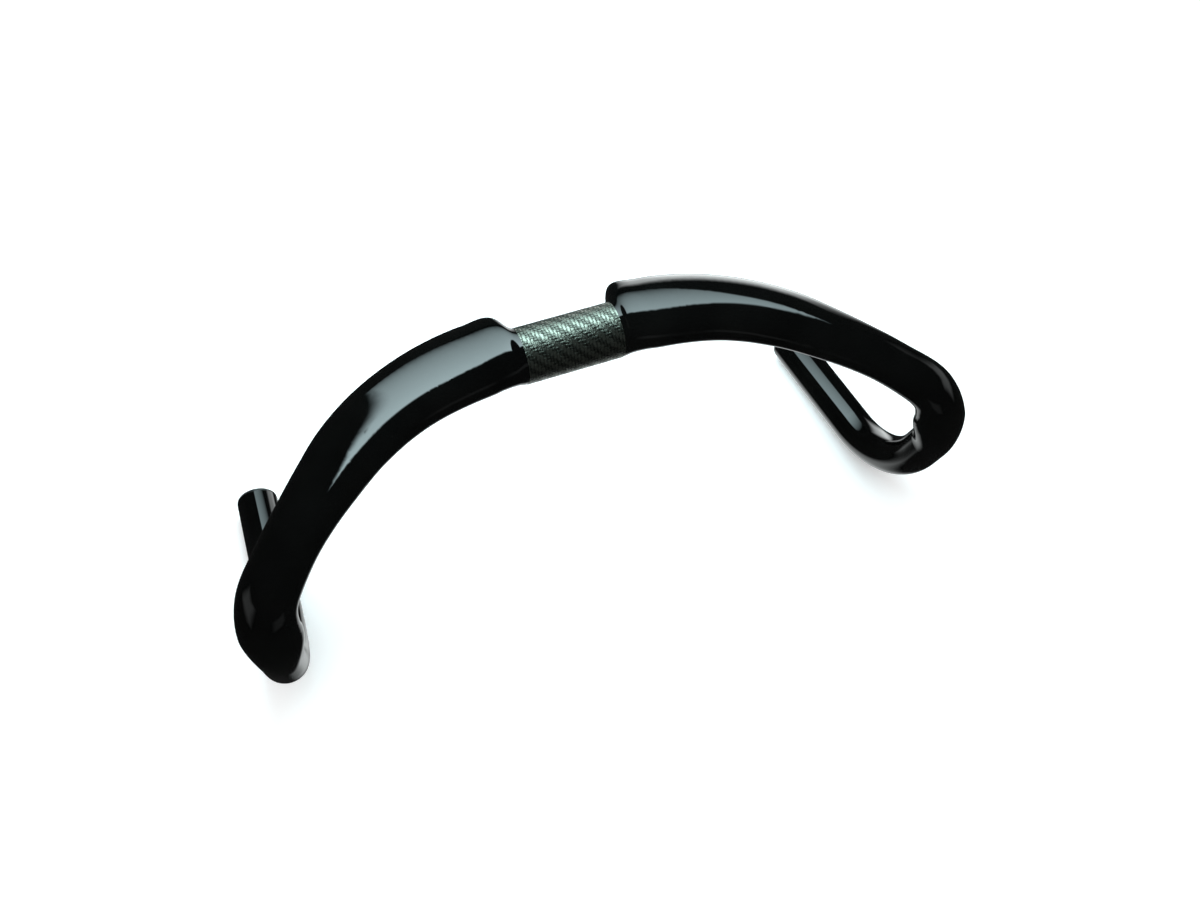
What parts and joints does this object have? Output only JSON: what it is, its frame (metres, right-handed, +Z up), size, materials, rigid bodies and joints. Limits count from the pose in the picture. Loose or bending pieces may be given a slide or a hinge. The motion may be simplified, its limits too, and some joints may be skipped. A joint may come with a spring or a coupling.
{
  "type": "drop handlebar",
  "caption": "Bare road drop handlebar: woven centre clamp zone, gloss hollow wings sweeping into round hooks and short grips, an expanding plug closing each bar end.",
  "frame": {"origin": "centre of the stem clamp zone, on its axis", "axes": "+X along the clamp axis, to the right as seen from in front of the bicycle, which is the rider's left; -Y forward, the way the bicycle travels; +Z up. left_ and right_ in node names are sides as seen from in front"},
  "size_m": [0.4212, 0.1547, 0.1457],
  "materials": {
    "woven_carbon": "satin clear coat over a fine exposed carbon weave, greenish grey where the light catches it",
    "gloss_carbon": "deep gloss clear coat over black carbon laminate",
    "raw_carbon": "raw moulded carbon, dull",
    "cap_plastic": "satin black moulded nylon",
    "sleeve_plastic": "dull dark grey moulded nylon",
    "steel": "dark stainless steel, fine turned marks",
    "nut_alloy": "turned aluminium",
    "ring_rubber": "dull black rubber"
  },
  "bodies": {
    "bar": {"clamp_sleeve": "woven_carbon", "centre_tube": "raw_carbon", "left_wing": "gloss_carbon", "right_wing": "gloss_carbon", "left_hook": "gloss_carbon", "right_hook": "gloss_carbon", "left_joint_spigot": "raw_carbon", "right_joint_spigot": "raw_carbon"},
    "left_plug": {"left_plug_cap": "cap_plastic", "left_screw_washer": "steel", "left_expander_sleeve": "sleeve_plastic", "left_sleeve_ring": "ring_rubber"},
    "left_screw": {"left_plug_screw": "steel"},
    "left_nut": {"left_cone_nut": "nut_alloy"},
    "right_plug": {"right_plug_cap": "cap_plastic", "right_screw_washer": "steel", "right_expander_sleeve": "sleeve_plastic", "right_sleeve_ring": "ring_rubber"},
    "right_screw": {"right_plug_screw": "steel"},
    "right_nut": {"right_cone_nut": "nut_alloy"}
  },
  "joints": [
    {"name": "left_plug_slide", "type": "slide", "parent": "bar", "child": "left_plug", "axis": [0.0698, 0.9976, 0], "range_m": [0, 0.038]},
    {"name": "left_screw_turn", "type": "hinge", "parent": "left_plug", "child": "left_screw", "pos_m": [-0.1817, 0.04503, -0.11789], "axis": [0.0698, 0.9976, 0], "range_deg": [0, 1441]},
    {"name": "left_nut_travel", "type": "slide", "parent": "left_plug", "child": "left_nut", "axis": [-0.0698, -0.9976, 0], "range_m": [0, 0.0032]},
    {"name": "right_plug_slide", "type": "slide", "parent": "bar", "child": "right_plug", "axis": [-0.0698, 0.9976, 0], "range_m": [0, 0.038]},
    {"name": "right_screw_turn", "type": "hinge", "parent": "right_plug", "child": "right_screw", "pos_m": [0.1817, 0.04503, -0.11789], "axis": [-0.0698, 0.9976, 0], "range_deg": [0, 1441]},
    {"name": "right_nut_travel", "type": "slide", "parent": "right_plug", "child": "right_nut", "axis": [0.0698, -0.9976, 0], "range_m": [0, 0.0032]}
  ],
  "couplings": [
    {"joint": "left_screw_turn", "follows": "left_nut_travel", "rad_per_m": 7854},
    {"joint": "right_screw_turn", "follows": "right_nut_travel", "rad_per_m": 7854}
  ]
}
